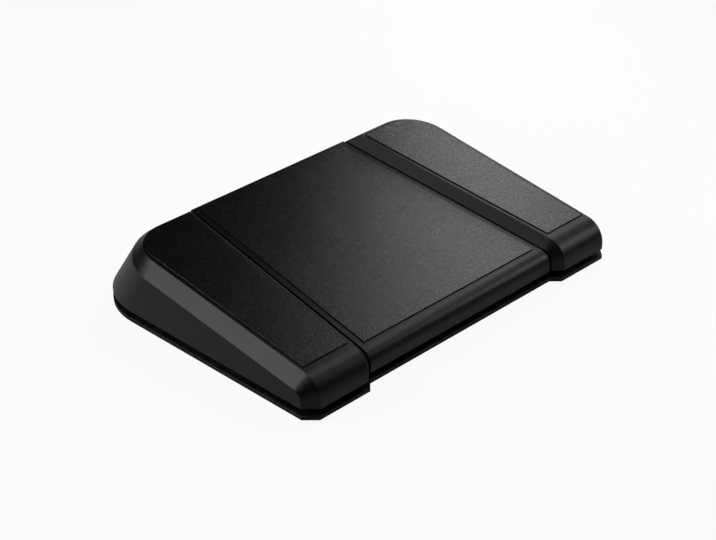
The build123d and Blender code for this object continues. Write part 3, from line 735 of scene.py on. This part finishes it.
@dataclass
class Base:
    """Steel plate, rubber feet, screws and the moulded chassis on the plate."""

    head_radius: float = 3.0 * MM
    shank_radius: float = 1.5 * MM
    head_height: float = 1.6 * MM
    recess_radius: float = 1.35 * MM
    recess_depth: float = 1.1 * MM
    recess_sides: int = 6
    screw_sides: int = 28
    sole_normal: float = -0.99
    foot_rim: float = 1.3 * MM
    foot_slope: float = 0.25 * MM
    foot_recess: float = 0.5 * MM

    def build(self, cast: Cast) -> None:
        """Builds the base's pieces and dresses the chassis.

        Args:
            cast: Materials by finish.
        """
        plate = merged_copy("base_plate")
        finish_piece(plate, "coated_plate", Body.BASE, "plate_steel", cast["plate"], "base_plate")
        self._feet(cast)
        self._screws(cast)
        dress_node("chassis", cast["chassis"])

    def _feet(self, cast: Cast) -> None:
        """Rubber feet whose soles have a rim, a sunk ring and a middle as high as the rim.

        Args:
            cast: Materials by finish.
        """
        bm = merged_copy("rubber_feet")
        soles = [face for face in bm.faces if face.normal.z < self.sole_normal]
        for depth in (-self.foot_recess, self.foot_recess):
            bmesh.ops.inset_individual(bm, faces=soles, thickness=self.foot_rim, depth=0.0)
            bmesh.ops.inset_individual(bm, faces=soles, thickness=self.foot_slope, depth=depth)
        finish_piece(bm, "ribbed_feet", Body.BASE, "foot_rubber", cast["foot"], "rubber_feet")

    def _screws(self, cast: Cast) -> None:
        """Countersunk screws with a hexagon recess, in the places of the modelled ones.

        Args:
            cast: Materials by finish.
        """
        whole = bmesh.new()
        for low, high in self._screw_boxes():
            one = self._screw(high.z - low.z)
            middle = (low + high) / 2
            bmesh.ops.translate(one, verts=one.verts, vec=Vector((middle.x, middle.y, low.z)))
            spare = bpy.data.meshes.new("screw")
            one.to_mesh(spare)
            one.free()
            whole.from_mesh(spare)
            bpy.data.meshes.remove(spare)
        finish_piece(whole, "hexagon_screws", Body.BASE, "screw_steel", cast["black_screw"], "base_screws")

    def _screw_boxes(self) -> list[tuple[Vector, Vector]]:
        """Finds the modelled screws, which are the loose parts of one node.

        Returns:
            The low and the high corner of each screw.
        """
        bm = merged_copy("base_screws")
        seen: set[BMVert] = set()
        boxes = []
        for first in bm.verts:
            if first in seen:
                continue
            seen.add(first)
            queue = [first]
            points = []
            while queue:
                vertex = queue.pop()
                points.append(vertex.co.copy())
                others = [edge.other_vert(vertex) for edge in vertex.link_edges]
                fresh = [other for other in others if other not in seen]
                seen.update(fresh)
                queue.extend(fresh)
            low = Vector([min(point[axis] for point in points) for axis in range(3)])
            high = Vector([max(point[axis] for point in points) for axis in range(3)])
            boxes.append((low, high))
        bm.free()
        return boxes

    def _screw(self, length: float) -> BMesh:
        """One screw with its head at the origin and its shank along Z.

        Args:
            length: Whole length of the screw.

        Returns:
            A closed mesh.
        """
        bm = bmesh.new()
        rim = self._ring(bm, self.screw_sides, self.head_radius)
        recess = self._ring(bm, self.recess_sides, self.recess_radius)
        bmesh.ops.bridge_loops(bm, edges=rim + recess)
        self._grow(bm, recess, 1.0, self.recess_depth, close=True)
        neck = self._grow(bm, rim, self.shank_radius / self.head_radius, self.head_height)
        self._grow(bm, neck, 1.0, length - self.head_height, close=True)
        bmesh.ops.recalc_face_normals(bm, faces=bm.faces)
        return bm

    @staticmethod
    def _ring(bm: BMesh, sides: int, radius: float) -> list[BMEdge]:
        """Adds a level ring of edges round the origin.

        Args:
            bm: Mesh to change.
            sides: Number of its edges.
            radius: Its radius.

        Returns:
            The ring's edges.
        """
        verts = bmesh.ops.create_circle(bm, segments=sides, radius=radius)["verts"]
        return list(dict.fromkeys(edge for vertex in verts for edge in vertex.link_edges))

    @staticmethod
    def _grow(
        bm: BMesh, edges: list[BMEdge], scale: float, height: float, close: bool = False
    ) -> list[BMEdge]:
        """Extrudes a level loop to a new height.

        Args:
            bm: Mesh to change.
            edges: The loop.
            scale: Size of the new loop to the old.
            height: Height of the new loop.
            close: Whether the new loop is filled.

        Returns:
            The new loop's edges.
        """
        made = bmesh.ops.extrude_edge_only(bm, edges=edges)["geom"]
        verts = [item for item in made if isinstance(item, BMVert)]
        loop = [item for item in made if isinstance(item, BMEdge)]
        bmesh.ops.scale(bm, verts=verts, vec=(scale, scale, 1.0))
        rise = height - verts[0].co.z
        bmesh.ops.translate(bm, verts=verts, vec=(0.0, 0.0, rise))
        if close:
            bmesh.ops.contextual_create(bm, geom=loop)
        return loop


@dataclass
class Socket:
    """Socket at the back: stamped shell, tongue and its gold contacts."""

    contacts: int = 12
    contact_width: float = 0.25 * MM
    contact_pitch: float = 0.5 * MM
    contact_length: float = 3.4 * MM
    contact_height: float = 0.06 * MM
    contact_edge: float = 0.02 * MM
    tongue_half: float = 0.35 * MM
    tip_gap: float = 0.4 * MM

    def build(self, cast: Cast) -> None:
        """Dresses the shell and tongue and lays the contacts on both sides of the tongue.

        Args:
            cast: Materials by finish.
        """
        dress_node("socket_shell", cast["bright_steel"])
        dress_node("socket_tongue", cast["chip"])
        low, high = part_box("socket_tongue")
        size = Matrix.Diagonal((self.contact_width, self.contact_length, self.contact_height, 1.0))
        y = high.y - self.tip_gap - self.contact_length / 2
        bm = bmesh.new()
        for index in range(self.contacts):
            x = (index - (self.contacts - 1) / 2) * self.contact_pitch
            for side in (-1, 1):
                z = (low.z + high.z) / 2 + side * (self.tongue_half + self.contact_height / 2)
                bmesh.ops.create_cube(bm, size=1.0, matrix=Matrix.Translation((x, y, z)) @ size)
        bmesh.ops.bevel(
            bm, geom=bm.edges, offset=self.contact_edge, offset_type="OFFSET", segments=1,
            profile=0.5, affect="EDGES", material=-1,
        )
        finish_piece(bm, "socket_contacts", Body.BASE, "socket_steel", cast["gold"])


@dataclass
class Springs:
    """Coil springs under the pedals."""

    upward: tuple[float, float, float] = (0.0, 0.0, 1.0)

    def build(self, cast: Cast) -> None:
        """Builds one coil for each spring that the record says a hinge presses.

        Args:
            cast: Materials by finish.
        """
        for joint in frame["record"]["behaviour"]["joints"]:
            for soft in joint.get("deforming_nodes", []):
                self._coil(cast, soft["node"])

    def _coil(self, cast: Cast, node: str) -> None:
        """One coil, a copy of the modelled spring on the base, with its own mesh.

        Args:
            cast: Materials by finish.
            node: Name of the modelled spring.
        """
        coil = finish_piece(
            merged_copy(node), f"wound_{node}", Body.BASE, "spring_steel", cast["bright_steel"], node
        )
        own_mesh(coil)


@dataclass
class Workings:
    """Hinges, boards and switches, which keep their modelled shapes."""

    finishes: dict[str, str] = field(default_factory=lambda: {
        "hinge_pin_left": "bright_steel", "hinge_pin_centre": "bright_steel",
        "hinge_pin_right": "bright_steel", "hinge_pin_clips": "bright_steel",
        "rubber_stops": "foot", "main_board": "laminate", "switch_board_left": "laminate",
        "switch_board_right": "laminate", "board_screws": "black_screw", "board_parts": "chip",
        "ribbon_left": "ribbon", "ribbon_right": "ribbon", "switch_body_left": "switch",
        "switch_body_centre": "switch", "switch_body_right": "switch", "switch_slider_left": "slider",
        "switch_slider_centre": "slider", "switch_slider_right": "slider",
    })

    def build(self, cast: Cast) -> None:
        """Dresses every working part.

        Args:
            cast: Materials by finish.
        """
        for node, finish in self.finishes.items():
            dress_node(node, cast[finish])


# Studio


@dataclass(frozen=True)
class SoftBox:
    """One soft light that looks at the middle of the switch.

    Angles are in degrees, lengths in metres and the power in watts.
    """

    name: str
    azimuth: float
    elevation: float
    distance: float
    width: float
    height: float
    power: float

    def build(self, target: Vector) -> None:
        """Adds the light.

        Args:
            target: Point that it faces.
        """
        turn = math.radians(self.azimuth)
        lift = math.radians(self.elevation)
        level = math.cos(lift)
        way = Vector((math.cos(turn) * level, math.sin(turn) * level, math.sin(lift)))
        light = bpy.data.lights.new(self.name, "AREA")
        light.shape = "RECTANGLE"
        light.size = self.width
        light.size_y = self.height
        light.energy = self.power
        lamp = bpy.data.objects.new(self.name, light)
        lamp.location = target + way * self.distance
        lamp.rotation_euler = way.to_track_quat("Z", "Y").to_euler()
        bpy.context.scene.collection.objects.link(lamp)


@dataclass
class Studio:
    """Pale floor, dim room, soft boxes and the camera at the photograph's angle.

    The floor and the room are seen as white, but the switch mirrors them at a lower strength.
    """

    camera_place: Vector = field(default_factory=lambda: Vector((-0.6380, -0.6340, 0.5317)))
    target: Vector = field(default_factory=lambda: Vector((-0.01889, -0.02504, 0.022)))
    sensor_width: float = 36.0
    lens: float = 94.2
    clip_start: float = 0.05
    clip_end: float = 60.0
    room_tone: Colour = (0.97, 0.98, 1.0)
    room_strength: float = 0.02
    room_mirrored: float = 0.02
    floor_tone: Colour = (0.82, 0.82, 0.82)
    floor_white: float = 0.93
    floor_mirrored: float = 0.44
    floor_half: float = 12.0
    floor_clearance: float = 0.02 * MM
    boxes: tuple[SoftBox, ...] = (
        SoftBox("key_box", 18.0, 36.0, 0.5, 0.2, 0.2, 0.3),
        SoftBox("low_key_box", 26.0, 26.0, 0.38, 0.16, 0.16, 0.045),
        SoftBox("left_box", 150.0, 30.0, 1.2, 0.6, 0.5, 8.2),
        SoftBox("high_left_box", 160.0, 45.0, 1.4, 0.6, 0.6, 1.1),
        SoftBox("front_box", -40.0, 38.0, 1.5, 0.7, 0.6, 0.9),
        SoftBox("high_front_box", 0.0, 55.0, 0.8, 0.4, 0.4, 0.85),
        SoftBox("left_nose_box", -38.0, 58.0, 0.28, 0.08, 0.08, 0.05),
        SoftBox("near_front_box", -28.0, 38.0, 0.5, 0.3, 0.25, 0.08),
        SoftBox("right_nose_box", -36.0, 22.0, 0.38, 0.1, 0.1, 0.17),
        SoftBox("edge_box", 31.0, 14.0, 0.5, 0.15, 0.08, 0.2),
    )

    def build(self) -> None:
        """Adds the floor, the room, the lights and the camera."""
        self._floor()
        self._room()
        for box in self.boxes:
            box.build(self.target)
        self._camera()
        bpy.context.scene.view_settings.view_transform = "Standard"

    def _floor(self) -> None:
        """Level floor under the feet, which reads as white and keeps a soft shadow."""
        bm = bmesh.new()
        bmesh.ops.create_grid(bm, x_segments=1, y_segments=1, size=self.floor_half)
        mesh = bpy.data.meshes.new("studio_floor")
        bm.to_mesh(mesh)
        bm.free()
        mesh.transform(Matrix.Translation((0.0, 0.0, -self.floor_clearance)))
        floor = bpy.data.objects.new("studio_floor", mesh)
        bpy.context.scene.collection.objects.link(floor)
        mesh.materials.append(self._floor_material())

    def _floor_material(self) -> Material:
        """Paper that takes shadows, under a white that direct and mirrored rays mostly see.

        Returns:
            The floor's material.
        """
        material = bpy.data.materials.new("pale_floor")
        material.use_nodes = True
        graph = Graph(material.node_tree)
        paper = graph.add("BsdfDiffuse", {"Color": (*self.floor_tone, 1.0)})
        path = graph.add("LightPath")
        direct = self._direct(graph, path)
        strength = self._seen_strength(graph, path, direct, self.floor_mirrored)
        white = graph.add("Emission", {"Color": (1.0, 1.0, 1.0, 1.0), "Strength": strength})
        seen = graph.maths("MAXIMUM", direct, path.outputs["Is Glossy Ray"])
        share = graph.maths("MULTIPLY", seen, self.floor_white)
        mixed = graph.add("MixShader", {0: share, 1: paper.outputs[0], 2: white.outputs[0]})
        graph.add("OutputMaterial", {"Surface": mixed.outputs[0]})
        return material

    def _room(self) -> None:
        """Dim room that is seen as white behind the switch."""
        world = bpy.data.worlds.new("studio_room")
        world.use_nodes = True
        graph = Graph(world.node_tree)
        path = graph.add("LightPath")
        seen = self._seen_strength(graph, path, self._direct(graph, path), self.room_mirrored)
        strength = graph.maths("MAXIMUM", seen, self.room_strength)
        sky = graph.add("Background", {"Color": (*self.room_tone, 1.0), "Strength": strength})
        graph.add("OutputWorld", {"Surface": sky.outputs[0]})
        bpy.context.scene.world = world

    @staticmethod
    def _direct(graph: Graph, path: Node) -> NodeSocket:
        """One for rays from the camera, also after they passed through something."""
        return graph.maths("MAXIMUM", path.outputs["Is Camera Ray"], path.outputs["Is Transmission Ray"])

    @staticmethod
    def _seen_strength(
        graph: Graph, path: Node, direct: NodeSocket, mirrored: float
    ) -> NodeSocket:
        """Strength of one for direct rays, and a lower one for mirrored rays.

        Args:
            graph: Graph of the tree.
            path: Its Light Path node.
            direct: One for direct rays.
            mirrored: Strength that mirrored rays see.

        Returns:
            The strength.
        """
        glossy = graph.maths("MULTIPLY", path.outputs["Is Glossy Ray"], mirrored)
        return graph.maths("MAXIMUM", direct, glossy)

    def _camera(self) -> None:
        """Camera at the photograph's viewing angle."""
        data = bpy.data.cameras.new("photo_camera")
        data.sensor_width = self.sensor_width
        data.lens = self.lens
        data.clip_start = self.clip_start
        data.clip_end = self.clip_end
        camera = bpy.data.objects.new("photo_camera", data)
        camera.location = self.camera_place
        away = self.camera_place - self.target
        camera.rotation_euler = away.to_track_quat("Z", "Y").to_euler()
        bpy.context.scene.collection.objects.link(camera)
        bpy.context.scene.camera = camera


def main() -> None:
    """Builds the studio and every sub-assembly of the switch."""
    Studio().build()
    groups = SharedGroups.build()
    cast = {name: finish.material(groups) for name, finish in FINISHES.items()}
    bodies = {"left": Body.LEFT_PEDAL, "centre": Body.CENTRE_PEDAL, "right": Body.RIGHT_PEDAL}
    for side, body in bodies.items():
        Pedal(side, body).build(cast)
    Base().build(cast)
    Socket().build(cast)
    Springs().build(cast)
    Workings().build(cast)


if __name__ == "__main__":
    main()
